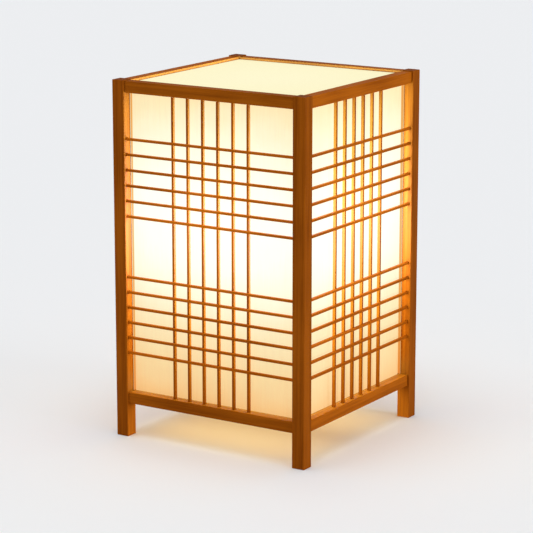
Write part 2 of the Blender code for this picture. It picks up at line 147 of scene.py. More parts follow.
def calc(tree, operation, *values):
    """The output of a Math node on one to three values."""
    made = add_node(tree, "Math", {"operation": operation})
    for socket, value in zip(made.inputs, values):
        feed(tree, socket, value)
    return made.outputs[0]


def ramp(tree, factor, stops):
    """A colour ramp from (place, colour) stops."""
    made = add_node(tree, "ValToRGB", Fac=factor)
    points = made.color_ramp.elements
    while len(points) < len(stops):
        points.new(1.0)
    for point, (place, colour) in zip(points, stops):
        point.position = place
        point.color = (*colour, 1)
    return made.outputs["Color"]


def tinted(tree, amount, colour, tint):
    """A colour multiplied by a tint, as far as the amount says."""
    made = add_node(tree, "Mix", {"data_type": "RGBA", "blend_type": "MULTIPLY"}, Factor=amount)
    feed(tree, made.inputs[MIX_COLOUR], colour)
    feed(tree, made.inputs[MIX_TINT], (*tint, 1) if isinstance(tint, tuple) else tint)
    return made.outputs[MIX_RESULT]


def start_material(name):
    """A new material, its node tree and its Principled shader."""
    made = bpy.data.materials.new(name)
    made.use_nodes = True
    return made, made.node_tree, made.node_tree.nodes["Principled BSDF"]


def vary_roughness(tree, shader, pattern, first, last, low=0.0, high=1.0):
    """Roughness from first to last as a pattern goes from low to high."""
    spread = add_node(
        tree, "MapRange", Value=pattern, From_Min=low, From_Max=high, To_Min=first, To_Max=last
    )
    tree.links.new(spread.outputs["Result"], shader.inputs["Roughness"])


def add_relief(tree, shader, pattern, strength, depth):
    """Fine relief that follows a pattern."""
    bump = add_node(tree, "Bump", Strength=strength, Distance=depth, Height=pattern)
    tree.links.new(bump.outputs["Normal"], shader.inputs["Normal"])


def stained_wood(name, grain_axis, light=WOOD_LIGHT, dark=WOOD_DARK, sawn_ends=False):
    """Stained straight-grained wood whose fibres run along one axis of the lamp."""
    made, tree, shader = start_material(name)
    place = object_place(tree)
    along = stretched(tree, place, *(GRAIN_STRETCH if axis == grain_axis else 1.0 for axis in (X, Y, Z)))
    bands = add_noise(tree, along, BAND_SCALE, detail=3.0, Roughness=BAND_ROUGHNESS)
    fibres = add_noise(tree, along, FIBRE_SCALE)
    drift = add_noise(tree, place, DRIFT_SCALE, detail=1.0)
    figure = calc(tree, "MULTIPLY_ADD", bands, BAND_SHARE, calc(tree, "MULTIPLY", fibres, FIBRE_SHARE))
    tone = calc(tree, "MULTIPLY_ADD", drift, DRIFT_SHARE, figure)
    colour = ramp(tree, tone, [(DARK_TONE, dark), (LIGHT_TONE, light)])
    if sawn_ends:
        level = calc(tree, "ABSOLUTE", surface_normal(tree)[Z])
        ends = calc(tree, "MULTIPLY", calc(tree, "GREATER_THAN", level, FACING), END_GRAIN_AMOUNT)
        colour = tinted(tree, ends, colour, END_GRAIN)
    tree.links.new(colour, shader.inputs["Base Color"])
    vary_roughness(tree, shader, tone, DULL_LACQUER, SATIN_LACQUER, DULL_TONE, SATIN_TONE)
    add_relief(tree, shader, fibres, FIBRE_RELIEF, FIBRE_DEPTH)
    shader.inputs["Specular IOR Level"].default_value = LACQUER_SPECULAR
    return made


def dress(node, finish):
    """Gives a solid of the frame its finish."""
    for slot in frame["nodes"][node].material_slots:
        slot.material = finish


post_wood = stained_wood("post_wood_lacquered", Z, sawn_ends=True)
for corner in CORNERS:
    dress("post_" + corner, post_wood)

# Rails
# Top and bottom rails of the same wood, tenoned into the posts and set back a little from their faces.
# Their grain runs from post to post.
FRONT_RAIL_LIGHT = (0.336, 0.0868, 0.0039)
FRONT_RAIL_DARK = (0.214, 0.0494, 0.0021)
# The side rails' tones are painted lighter than the front and back rails', as if lit from the right.
SIDE_RAIL_PAINTED_LIT_LIGHT = (0.418, 0.1074, 0.0043)
SIDE_RAIL_PAINTED_LIT_DARK = (0.2685, 0.0613, 0.0022)


def by_face(face, along_x, along_y):
    """The finish that runs the way a face does: front and back along x, right and left along y."""
    return along_x if face in ("front", "back") else along_y


rail_wood_along_x = stained_wood("rail_wood_along_x", X, FRONT_RAIL_LIGHT, FRONT_RAIL_DARK)
rail_wood_along_y = stained_wood("rail_wood_along_y", Y, SIDE_RAIL_PAINTED_LIT_LIGHT, SIDE_RAIL_PAINTED_LIT_DARK)
for face in FACES:
    rail_wood = by_face(face, rail_wood_along_x, rail_wood_along_y)
    dress("top_rail_" + face, rail_wood)
    dress("bottom_rail_" + face, rail_wood)

# Lattices
# Thin slats of the same wood, planed with eased front edges. The rows run from post to post, the uprights
# from rail to rail, housed in shallow notches across the backs of the rows and glued there. Their tones are
# painted lighter than the posts', and near the bulb's height a glow is painted on them as emission.
SLAT_WIDTH = 0.0024
SLAT_DEPTH = 0.003
SLAT_SET = 0.0024
SLAT_LAP = 0.0004
SLAT_EDGE = 0.0003
SLAT_EDGE_STEPS = 2
NOTCH_PLAY = 0.0001
ROWS_IN_GROUP = 6
ROW_PITCH = 0.015
ROW_GAP = 0.0594
ROW_MIDDLE = 0.1888
UPRIGHTS = 6
UPRIGHT_PITCH = 0.0168
# The slats' tones are painted lighter than the posts', for the glow of the paper round them.
ROW_PAINTED_LIT_LIGHT = (0.45, 0.112, 0.0046)
ROW_PAINTED_LIT_DARK = (0.306, 0.0702, 0.0025)
UPRIGHT_PAINTED_LIT_LIGHT = (0.3635, 0.0857, 0.0037)
UPRIGHT_PAINTED_LIT_DARK = (0.2387, 0.0521, 0.002)
# A glow painted on the slats as emission of their own tinted colour, strongest at the bulb's height.
PAINTED_GLOW_TINT = (1.0, 1.3, 1.0)
PAINTED_GLOW_HEIGHT = 0.218
PAINTED_GLOW_SPREAD = 0.056
ROW_PAINTED_GLOW = 0.5
UPRIGHT_PAINTED_GLOW = 0.85
lattice_low, lattice_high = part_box("lattice_front")
row_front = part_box("post_front_right")[0].y + SLAT_SET
row_back = row_front + SLAT_DEPTH
upright_front = row_back - SLAT_LAP
upright_places = [(step - (UPRIGHTS - 1) / 2) * UPRIGHT_PITCH for step in range(UPRIGHTS)]
row_steps = [ROW_GAP / 2 + step * ROW_PITCH for step in range(ROWS_IN_GROUP)]
row_heights = sorted([ROW_MIDDLE + step for step in row_steps] + [ROW_MIDDLE - step for step in row_steps])


def deselect_all():
    """Leaves object mode with nothing selected."""
    if bpy.context.object and bpy.context.object.mode != "OBJECT":
        bpy.ops.object.mode_set(mode="OBJECT")
    bpy.ops.object.select_all(action="DESELECT")


def add_block(name, low, high):
    """A block between two corners, left in edit mode with nothing selected."""
    deselect_all()
    size = [b - a for a, b in zip(low, high)]
    middle = [(a + b) / 2 for a, b in zip(low, high)]
    bpy.ops.mesh.primitive_cube_add(size=1, location=middle, scale=size)
    block = bpy.context.object
    block.name = block.data.name = name
    bpy.ops.object.transform_apply(location=True, rotation=True, scale=True)
    bpy.ops.object.mode_set(mode="EDIT")
    bpy.ops.mesh.select_all(action="DESELECT")
    return block


def choose(piece, kind, wanted):
    """Selects the faces or edges of a piece in edit mode for which wanted(item) is true."""
    bpy.ops.object.mode_set(mode="OBJECT")
    parts = {"FACE": piece.data.polygons, "EDGE": piece.data.edges, "VERT": piece.data.vertices}
    for part in parts.values():
        part.foreach_set("select", [False] * len(part))
    for item in parts[kind]:
        item.select = wanted(item)
    bpy.ops.object.mode_set(mode="EDIT")
    bpy.ops.mesh.select_mode(type=kind)


def edge_points(piece, edge):
    """The two ends of an edge."""
    return [piece.data.vertices[index].co for index in edge.vertices]


def ease_front(slat, axis, front):
    """Eases the long front edges of a slat that runs along an axis."""

    def is_long_front(edge):
        start, end = edge_points(slat, edge)
        return max(start.y, end.y) < front + SLAT_EDGE and abs(start[axis] - end[axis]) > SLAT_DEPTH

    choose(slat, "EDGE", is_long_front)
    bpy.ops.mesh.bevel(offset=SLAT_EDGE, segments=SLAT_EDGE_STEPS, affect="EDGES")


def in_notch(face):
    """True for the parts of a row's back that an upright crosses."""
    crossed = any(abs(face.center.x - place) < SLAT_WIDTH / 2 for place in upright_places)
    return crossed and face.normal.y > FACING


def extrude(*step):
    """Extrudes what is selected by a step along the three axes."""
    bpy.ops.mesh.extrude_region_move(TRANSFORM_OT_translate={"value": step})


def copy_piece(piece, name, turn):
    """A copy with its own mesh, moved and turned within the mesh."""
    made = piece.copy()
    made.data = piece.data.copy()
    made.name = made.data.name = name
    made.data.transform(turn)
    bpy.context.scene.collection.objects.link(made)
    return made


def quarter(turns):
    """A number of quarter turns about the lamp's middle."""
    return Matrix.Rotation(turns * math.pi / 2, 4, "Z")


def distance_from(tree, height, *scale):
    """The distance from the point at a height on the lamp's axis, with each axis scaled."""
    middle = (0, 0, -height * scale[Z])
    scaled = add_node(tree, "Mapping", Vector=object_place(tree), Location=middle, Scale=scale)
    length = add_node(tree, "VectorMath", {"operation": "LENGTH"}, Vector=scaled.outputs["Vector"])
    return length.outputs["Value"]


def slat_wood_with_painted_glow(name, grain_axis, light, dark, level):
    """The stained wood of a slat, with a glow painted on as emission, strongest near the bulb's height."""
    made = stained_wood(name, grain_axis, light, dark)
    tree = made.node_tree
    shader = tree.nodes["Principled BSDF"]
    # Painted glow: emission that falls off with the distance from the bulb's height.
    off = distance_from(tree, PAINTED_GLOW_HEIGHT, *[1 / PAINTED_GLOW_SPREAD] * 3)
    nearest = (row_front / PAINTED_GLOW_SPREAD) ** 2
    fall = calc(tree, "EXPONENT", calc(tree, "SUBTRACT", nearest, calc(tree, "MULTIPLY", off, off)))
    tree.links.new(calc(tree, "MULTIPLY", fall, level), shader.inputs["Emission Strength"])
    painted_slat_glow = tinted(tree, 1.0, shader.inputs["Base Color"].links[0].from_socket, PAINTED_GLOW_TINT)
    tree.links.new(painted_slat_glow, shader.inputs["Emission Color"])
    return made


def finish_piece(piece, finish, body, node):
    """Material, body, slot and the solid that a new piece stands for."""
    piece.data.materials.clear()
    piece.data.materials.append(finish)
    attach(piece, body)
    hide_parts(node)


row = add_block(
    "row_pattern",
    (lattice_low.x, row_front, -SLAT_WIDTH / 2),
    (lattice_high.x, row_back, SLAT_WIDTH / 2),
)
ease_front(row, X, row_front)
notch_half = SLAT_WIDTH / 2 + NOTCH_PLAY
for place in upright_places:
    for cut in (place - notch_half, place + notch_half):
        bpy.ops.mesh.select_all(action="SELECT")
        bpy.ops.mesh.bisect(plane_co=(cut, 0, 0), plane_no=(1, 0, 0))
choose(row, "FACE", in_notch)
extrude(0, -SLAT_LAP, 0)
bpy.ops.object.mode_set(mode="OBJECT")

upright = add_block(
    "upright_pattern",
    (-SLAT_WIDTH / 2, upright_front, lattice_low.z),
    (SLAT_WIDTH / 2, upright_front + SLAT_DEPTH, lattice_high.z),
)
ease_front(upright, Z, upright_front)
bpy.ops.object.mode_set(mode="OBJECT")

slat_wood_along_x = slat_wood_with_painted_glow("slat_wood_along_x", X, ROW_PAINTED_LIT_LIGHT, ROW_PAINTED_LIT_DARK, ROW_PAINTED_GLOW)
slat_wood_along_y = slat_wood_with_painted_glow("slat_wood_along_y", Y, ROW_PAINTED_LIT_LIGHT, ROW_PAINTED_LIT_DARK, ROW_PAINTED_GLOW)
slat_wood_upright = slat_wood_with_painted_glow("slat_wood_upright", Z, UPRIGHT_PAINTED_LIT_LIGHT, UPRIGHT_PAINTED_LIT_DARK, UPRIGHT_PAINTED_GLOW)
for turns, face in enumerate(FACES):
    row_wood = by_face(face, slat_wood_along_x, slat_wood_along_y)
    for number, height in enumerate(row_heights, 1):
        turn = quarter(turns) @ Matrix.Translation((0, 0, height))
        row_slat = copy_piece(row, f"row_slat_{face}_{number}", turn)
        finish_piece(row_slat, row_wood, "lamp", "lattice_" + face)
    for number, place in enumerate(upright_places, 1):
        turn = quarter(turns) @ Matrix.Translation((place, 0, 0))
        upright_slat = copy_piece(upright, f"upright_slat_{face}_{number}", turn)
        finish_piece(upright_slat, slat_wood_upright, "lamp", "lattice_" + face)
for pattern in (row, upright):
    bpy.data.objects.remove(pattern)

# Paper panels
# Laminated shoji paper, stretched behind the rails, with its upright margins folded forward and pasted to
# the posts. The bulb's light through it is painted on as a glow: white at the bulb's height, cream and then
# peach further off.
PAPER = 0.0005
SAME_PLACE = PAPER / 10
FOLD_RADIUS = 0.0009
FOLD_STEPS = 4
MARGIN_PLAY = 0.0003
GLOW_HEIGHT = 0.223
GLOW_NARROWING = 0.55
GLOW_REACH = 0.197
GLOW_LEVEL_ALONG_X = 1.08
GLOW_LEVEL_ALONG_Y = 1.06
GLOW_SCALE_ALONG_X = (GLOW_NARROWING, 0, 1)
GLOW_SCALE_ALONG_Y = (0, GLOW_NARROWING, 1)
SIDE_GLOW = [
    (0.0, (0.76, 0.94, 0.89)),
    (0.24, (0.75, 0.88, 0.80)),
    (0.41, (0.74, 0.77, 0.60)),
    (0.55, (0.72, 0.65, 0.405)),
    (0.74, (0.69, 0.525, 0.26)),
    (0.9, (0.68, 0.405, 0.155)),
    (1.0, (0.66, 0.345, 0.12)),
]
MOTTLE_SCALE = 60.0
MOTTLE_SHIFT = 0.012
PULP_STRETCH = 0.06
PULP_SCALE = 600.0
PULP_CURL = 0.5
PULP_SHADE = [(0.3, (0.972, 0.968, 0.964)), (0.6, (1, 1, 1))]
PULP_RELIEF = 0.15
PULP_DEPTH = 0.0001
PAPER_TONE = (0.30, 0.25, 0.15)
PAPER_SHARE = 0.93
PAPER_ROUGHNESS = 0.7
PAPER_SPECULAR = 0.2
# Painted light: a lit orange on the margins, in glow and colour, and a brighter glow on the inside face.
MARGIN_PAINTED_LIGHT = (0.82, 0.44, 0.17)
INSIDE_PAINTED_LIGHT = (1.26, 0.95, 0.56)
INWARD = -0.03


def shaded(tree, pattern, colour, share, low=0.3, high=0.7):
    """A colour of which only a share is left where a pattern is low."""
    dark = [part * share for part in colour]
    return ramp(tree, pattern, [(low, dark), (high, colour)])


def glowing_paper(name, stops, level, scale, face_axis, margin_axis=None):
    """Paper with the bulb's light painted on as a glow, brightest near the bulb and brighter inside; on the
    margins pasted to the posts its glow and colour are painted a lit orange.

    The scale of each axis gives the glow its shape.
    """
    made, tree, shader = start_material(name)
    place = object_place(tree)
    cloud = add_noise(tree, place, MOTTLE_SCALE, detail=3.0)
    mottle = calc(tree, "MULTIPLY_ADD", cloud, MOTTLE_SHIFT, -MOTTLE_SHIFT / 2)
    distance = calc(tree, "ADD", distance_from(tree, GLOW_HEIGHT, *scale), mottle)
    reach = calc(tree, "DIVIDE", distance, GLOW_REACH)
    drawn = stretched(tree, place, 1, 1, PULP_STRETCH)
    pulp = add_noise(tree, drawn, PULP_SCALE, detail=4.0, Distortion=PULP_CURL)
    glow = tinted(tree, 1.0, ramp(tree, reach, stops), ramp(tree, pulp, PULP_SHADE))
    tone = shaded(tree, pulp, PAPER_TONE, PAPER_SHARE)
    normal = surface_normal(tree)
    from_middle = add_node(tree, "SeparateXYZ", Vector=place).outputs[face_axis]
    outward = calc(tree, "MULTIPLY", normal[face_axis], from_middle)
    # Painted brighter glow on the inside face, as the bulb lights it.
    glow = tinted(tree, calc(tree, "LESS_THAN", outward, INWARD), glow, INSIDE_PAINTED_LIGHT)
    if margin_axis is not None:
        sideways = calc(tree, "ABSOLUTE", normal[margin_axis])
        # On the margins, glow and colour are painted a lit orange.
        glow = tinted(tree, sideways, glow, MARGIN_PAINTED_LIGHT)
        tone = tinted(tree, sideways, tone, MARGIN_PAINTED_LIGHT)
    tree.links.new(glow, shader.inputs["Emission Color"])
    shader.inputs["Emission Strength"].default_value = level
    tree.links.new(tone, shader.inputs["Base Color"])
    add_relief(tree, shader, pulp, PULP_RELIEF, PULP_DEPTH)
    shader.inputs["Roughness"].default_value = PAPER_ROUGHNESS
    shader.inputs["Specular IOR Level"].default_value = PAPER_SPECULAR
    return made


paper_along_x = glowing_paper("side_paper_along_x", SIDE_GLOW, GLOW_LEVEL_ALONG_X, GLOW_SCALE_ALONG_X, Y, X)
paper_along_y = glowing_paper("side_paper_along_y", SIDE_GLOW, GLOW_LEVEL_ALONG_Y, GLOW_SCALE_ALONG_Y, X, Y)

paper_low, paper_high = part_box("paper_front")
margin_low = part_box("bottom_rail_front")[1].z + MARGIN_PLAY
margin_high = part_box("top_rail_front")[0].z - MARGIN_PLAY
sheet_back = paper_high.y
deselect_all()
bpy.ops.mesh.primitive_plane_add(
    size=1,
    location=(0, sheet_back, (margin_low + margin_high) / 2),
    rotation=(math.pi / 2, 0, 0),
)
sheet = bpy.context.object
sheet.scale = (paper_high.x - paper_low.x, margin_high - margin_low, 1)
sheet.name = sheet.data.name = "paper_pattern"
bpy.ops.object.transform_apply(location=True, rotation=True, scale=True)
bpy.ops.object.mode_set(mode="EDIT")


def choose_on_back(axis, *places):
    """Selects the edges of the sheet's back that lie at one of some places on an axis."""

    def is_there(edge):
        ends = edge_points(sheet, edge)
        flat = all(abs(point.y - sheet_back) < SAME_PLACE for point in ends)
        return flat and any(
            all(abs(point[axis] - place) < SAME_PLACE for point in ends) for place in places
        )

    choose(sheet, "EDGE", is_there)


choose_on_back(X, paper_low.x, paper_high.x)
extrude(0, paper_low.y - sheet_back, 0)
choose_on_back(X, paper_low.x, paper_high.x)
bpy.ops.mesh.bevel(offset=FOLD_RADIUS, segments=FOLD_STEPS, affect="EDGES")
for level, tongue_end in ((margin_low, paper_low.z), (margin_high, paper_high.z)):
    choose_on_back(Z, level)
    extrude(0, 0, tongue_end - level)
bpy.ops.object.mode_set(mode="OBJECT")


def add_wall(piece, thickness, offset):
    """Gives the active sheet its thickness, on the side of its faces (1) or behind them (-1)."""
    wall = piece.modifiers.new("wall", "SOLIDIFY")
    wall.thickness = thickness
    wall.offset = offset
    bpy.ops.object.modifier_apply(modifier="wall")


add_wall(sheet, PAPER, 1)
for turns, face in enumerate(FACES):
    panel = copy_piece(sheet, "paper_panel_" + face, quarter(turns))
    side_paper = by_face(face, paper_along_x, paper_along_y)
    finish_piece(panel, side_paper, "lamp", "paper_" + face)
bpy.data.objects.remove(sheet)

# Top panel
# A stiff sheet of laminated paper, cut square and notched round the posts. It lies loose on its ledges, so
# that the bulb can be reached, and its light from below is painted on as a glow.
TOP_GLOW = [
    (0.0, (0.70, 0.69, 0.485)),
    (0.6, (0.68, 0.66, 0.425)),
    (1.0, (0.66, 0.61, 0.35)),
]
TOP_GLOW_LEVEL = 1.02
TOP_GLOW_SCALE = (1, 1, 0.3)
dress("top_panel", glowing_paper("top_paper_lit", TOP_GLOW, TOP_GLOW_LEVEL, TOP_GLOW_SCALE, Z))

# Ledges
# Thin battens of the same wood, mitred at the corners and glued inside the top rails, over the paper's
# upper edge. They carry the top panel.
ledge_wood_along_x = stained_wood("ledge_wood_along_x", X)
ledge_wood_along_y = stained_wood("ledge_wood_along_y", Y)
for face in FACES:
    dress("top_ledge_" + face, by_face(face, ledge_wood_along_x, ledge_wood_along_y))

# Holder bar
# A flat batten of the same wood across the open bottom, tenoned into the side rails.
# It is bored in its middle for the stem that carries the lamp holder.
dress("holder_bar", stained_wood("bar_wood_along_x", X))

# Stem
# A steel tube with a fine thread along its length goes through the bar. A brass sleeve over it lifts the
# holder, a washer and a nut clamp it from below, and a black bush lines its lower end.
STEM_BORE = 0.0036
STEM_THREAD_PITCH = 0.001
STEM_THREAD_DEPTH = 0.0004
STEM_SIDES = 32
ROUND_SIDES = 64
ROUND_SMOOTH = math.radians(35)
MERGE = 1e-6
SEED_SIZE = 0.002
MARK_SCALE = 900.0
MARK_STRETCH = 0.05
MARK_RELIEF = 0.2
MARK_SMOOTHER = 0.08
MARK_ROUGHER = 0.1
TARNISH_SCALE = 120.0
TARNISH_SHARE = 0.78
SKIN_SCALE = 2500.0
SKIN_RELIEF = 0.1
BLOOM_SCALE = 90.0
BLOOM_SHARE = 0.8
BLOOM_UNEVEN = 0.06
FINE_DEPTH = 0.0001


def brushed_metal(name, colour, roughness, grain_axis=Z):
    """Plated or plain metal with fine drawing marks round it and faint tarnish."""
    made, tree, shader = start_material(name)
    place = object_place(tree)
    lines = stretched(tree, place, *(1.0 if axis == grain_axis else MARK_STRETCH for axis in (X, Y, Z)))
    marks = add_noise(tree, lines, MARK_SCALE, detail=3.0)
    tarnish = add_noise(tree, place, TARNISH_SCALE, detail=3.0)
    tone = shaded(tree, tarnish, colour, TARNISH_SHARE, low=0.35, high=0.65)
    tree.links.new(tone, shader.inputs["Base Color"])
    vary_roughness(tree, shader, marks, roughness - MARK_SMOOTHER, roughness + MARK_ROUGHER)
    add_relief(tree, shader, marks, MARK_RELIEF, FINE_DEPTH)
    shader.inputs["Metallic"].default_value = 1.0
    return made


def moulded_black(name, colour, roughness):
    """Black moulded plastic or pressed glass with a fine grain and a slightly uneven gloss."""
    made, tree, shader = start_material(name)
    place = object_place(tree)
    cloud = add_noise(tree, place, BLOOM_SCALE)
    skin = add_noise(tree, place, SKIN_SCALE)
    tone = shaded(tree, cloud, colour, BLOOM_SHARE)
    tree.links.new(tone, shader.inputs["Base Color"])
    vary_roughness(tree, shader, cloud, roughness - BLOOM_UNEVEN, roughness + BLOOM_UNEVEN)
    add_relief(tree, shader, skin, SKIN_RELIEF, FINE_DEPTH)
    return made


def draw_profile(name, points):
    """A line through (radius, height) points, drawn by extruding one vertex, left in edit mode."""
    deselect_all()
    bpy.ops.mesh.primitive_plane_add(size=SEED_SIZE)
    piece = bpy.context.object
    piece.name = piece.data.name = name
    bpy.ops.object.mode_set(mode="EDIT")
    bpy.ops.mesh.select_mode(type="VERT")
    bpy.ops.mesh.select_all(action="SELECT")
    bpy.ops.mesh.merge(type="CENTER")
    bpy.ops.transform.translate(value=(points[0][0], 0, points[0][1]))
    for (radius, height), (next_radius, next_height) in zip(points, points[1:]):
        step = (next_radius - radius, 0, next_height - height)
        bpy.ops.mesh.extrude_vertices_move(TRANSFORM_OT_translate={"value": step})
    return piece


def turn_profile(name, points, sides=ROUND_SIDES):
    """A profile turned about the stem's axis into a closed piece."""
    piece = draw_profile(name, points)
    bpy.ops.mesh.select_all(action="SELECT")
    bpy.ops.mesh.spin(steps=sides, angle=2 * math.pi, center=(0, 0, 0), axis=(0, 0, 1))
    bpy.ops.mesh.select_all(action="SELECT")
    bpy.ops.mesh.remove_doubles(threshold=MERGE)
    bpy.ops.mesh.normals_make_consistent(inside=False)
    bpy.ops.object.mode_set(mode="OBJECT")
    bpy.ops.object.shade_smooth_by_angle(angle=ROUND_SMOOTH)
    return piece


tube_low, tube_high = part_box("stem_tube")
stem_radius = tube_high.x
stem_root = stem_radius - STEM_THREAD_DEPTH
ridge_count = int((tube_high.z - tube_low.z) / STEM_THREAD_PITCH)
ridge_step = (tube_high.z - tube_low.z) / ridge_count
stem_line = [(STEM_BORE, tube_low.z)]
for ridge in range(ridge_count):
    ridge_low = tube_low.z + ridge * ridge_step
    stem_line += [(stem_root, ridge_low), (stem_radius, ridge_low + ridge_step / 2)]
stem_line += [(stem_root, tube_high.z), (STEM_BORE, tube_high.z), (STEM_BORE, tube_low.z)]
stem_tube = turn_profile("threaded_stem_tube", stem_line, STEM_SIDES)
zinc_plate = brushed_metal("stem_zinc_plate", colour=(0.55, 0.53, 0.48), roughness=0.34)
finish_piece(stem_tube, zinc_plate, "lamp", "stem_tube")
dress("stem_sleeve", brushed_metal("sleeve_drawn_brass", colour=(0.60, 0.43, 0.17), roughness=0.3))
nut_plate = brushed_metal("nut_zinc_plate", colour=(0.50, 0.49, 0.46), roughness=0.38)
dress("stem_washer", nut_plate)
dress("stem_nut", nut_plate)
dress("cord_bush", moulded_black("bush_black_plastic", colour=(0.03, 0.03, 0.03), roughness=0.5))

# Lamp holder
# A black moulded cap screwed on the stem carries a ceramic core, a rolled brass screw shell and a sprung
# contact. A ribbed skirt screws on over them.
SKIRT_WALL = 0.0022
SKIRT_ROUND = 0.0008
ROUND_MIDDLE = 0.3 * SKIRT_ROUND
SKIRT_RIBS = 24
SIDES_TO_A_RIB = 4
RIB_SHARE = 0.5
RIB_DEPTH = 0.0005
RIB_START = 4 * SKIRT_ROUND
RIB_STOP = 6 * SKIRT_ROUND
CLAY_SCALE = 800.0
CLAY_TONES = [(0.35, (0.68, 0.64, 0.57)), (0.6, (0.80, 0.77, 0.70))]
CLAY_RELIEF = 0.2
CLAY_ROUGHNESS = 0.6
holder_black = moulded_black("holder_black_plastic", colour=(0.022, 0.022, 0.023), roughness=0.34)
dress("holder_cap", holder_black)
skirt_low, skirt_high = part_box("holder_skirt")
skirt_radius = skirt_high.x
skirt_bore = skirt_radius - SKIRT_WALL
rib_low = skirt_low.z + RIB_START
rib_high = skirt_high.z - RIB_STOP
skirt = turn_profile(
    "ribbed_holder_skirt",
    [
        (skirt_bore, skirt_low.z),
        (skirt_radius, skirt_low.z),
        (skirt_radius, rib_low),
        (skirt_radius, rib_high),
        (skirt_radius, skirt_high.z - SKIRT_ROUND),
        (skirt_radius - ROUND_MIDDLE, skirt_high.z - ROUND_MIDDLE),
        (skirt_radius - SKIRT_ROUND, skirt_high.z),
        (skirt_bore, skirt_high.z),
        (skirt_bore, skirt_low.z),
    ],
    SIDES_TO_A_RIB * SKIRT_RIBS,
)


def between_ribs(face):
    """True for the outer faces of the skirt between two ribs."""
    angle = math.atan2(face.center.y, face.center.x) / (2 * math.pi) * SKIRT_RIBS
    outside = math.hypot(face.center.x, face.center.y) > skirt_radius - SKIRT_ROUND / 2
    return outside and rib_low < face.center.z < rib_high and angle % 1 < RIB_SHARE


choose(skirt, "FACE", between_ribs)
bpy.ops.mesh.extrude_region_shrink_fatten(TRANSFORM_OT_shrink_fatten={"value": -RIB_DEPTH})
bpy.ops.object.mode_set(mode="OBJECT")
finish_piece(skirt, holder_black, "lamp", "holder_skirt")
core_clay, core_tree, core_shader = start_material("core_unglazed_ceramic")
core_specks = add_noise(core_tree, object_place(core_tree), CLAY_SCALE, detail=4.0)
core_tree.links.new(ramp(core_tree, core_specks, CLAY_TONES), core_shader.inputs["Base Color"])
add_relief(core_tree, core_shader, core_specks, CLAY_RELIEF, FINE_DEPTH)
core_shader.inputs["Roughness"].default_value = CLAY_ROUGHNESS
dress("holder_core", core_clay)
spring_bronze = brushed_metal(
    "contact_spring_bronze", colour=(0.55, 0.34, 0.15), roughness=0.35, grain_axis=X
)
dress("holder_contact", spring_bronze)

# Screw thread of the holder and the bulb
# Both are rolled from thin sheet with the same rounded thread, the holder's in brass, the bulb's plated.
# The holder's shell also has a foot, turned in below the thread to a flange on the core.
THREAD_PITCH = 0.00363
THREAD_STEPS = 8
THREAD_SIDES = 48
THREAD_MERGE = 1e-5
THREAD_SMOOTH = math.radians(50)
SHEET = 0.0004
SHELL_THREAD_DEPTH = 0.0004
SHELL_FLANGE = 0.0045
SHELL_FOOT = 0.0015


def rolled_thread(name, crest, depth, low, high):
    """A sheet tube with a rounded screw thread, cut off level at both ends."""
    mean = crest - depth / 2
    wave = []
    for step in range(THREAD_STEPS + 1):
        part = step / THREAD_STEPS
        wave.append((mean + depth / 2 * math.cos(2 * math.pi * part), low - THREAD_PITCH * (1 - part)))
    piece = draw_profile(name, wave)
    bpy.ops.object.mode_set(mode="OBJECT")
    coil = piece.modifiers.new("coil", "SCREW")
    coil.axis = "Z"
    coil.screw_offset = THREAD_PITCH
    coil.iterations = math.ceil((high - low) / THREAD_PITCH) + 1
    coil.steps = coil.render_steps = THREAD_SIDES
    coil.use_merge_vertices = True
    coil.merge_threshold = THREAD_MERGE
    bpy.ops.object.modifier_apply(modifier="coil")
    bpy.ops.object.mode_set(mode="EDIT")
    bpy.ops.mesh.select_all(action="SELECT")
    bpy.ops.mesh.remove_doubles(threshold=MERGE)
    bpy.ops.mesh.bisect(plane_co=(0, 0, low), plane_no=(0, 0, 1), clear_inner=True)
    bpy.ops.mesh.select_all(action="SELECT")
    bpy.ops.mesh.bisect(plane_co=(0, 0, high), plane_no=(0, 0, 1), clear_outer=True)
    bpy.ops.mesh.select_all(action="SELECT")
    bpy.ops.mesh.normals_make_consistent(inside=False)
    bpy.ops.object.mode_set(mode="OBJECT")
    add_wall(piece, SHEET, -1)
    bpy.ops.object.shade_smooth_by_angle(angle=THREAD_SMOOTH)
    return piece


def join_pieces(first, *others):
    """Makes several meshes one piece."""
    deselect_all()
    for piece in (*others, first):
        piece.select_set(True)
    bpy.context.view_layer.objects.active = first
    bpy.ops.object.join()
    return first


shell_low, shell_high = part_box("holder_screw_shell")
shell_outer = shell_high.x
shell_throat = shell_outer - SHELL_FLANGE
foot_top = shell_low.z + SHELL_FOOT
shell_thread = rolled_thread(
    "holder_screw_shell_rolled", shell_outer, SHELL_THREAD_DEPTH, foot_top, shell_high.z
)
shell_foot = turn_profile(
    "shell_foot",
    [
        (shell_throat, shell_low.z),
        (shell_outer - 2 * SHEET, shell_low.z),
        (shell_outer, shell_low.z + 2 * SHEET),
        (shell_outer, foot_top + SHEET),
        (shell_outer - SHEET, foot_top + SHEET),
        (shell_outer - SHEET, shell_low.z + 2 * SHEET),
        (shell_outer - 3 * SHEET, shell_low.z + SHEET),
        (shell_throat, shell_low.z + SHEET),
        (shell_throat, shell_low.z),
    ],
)
screw_shell = join_pieces(shell_thread, shell_foot)
rolled_brass = brushed_metal("shell_rolled_brass", colour=(0.62, 0.46, 0.18), roughness=0.3)
finish_piece(screw_shell, rolled_brass, "lamp", "holder_screw_shell")

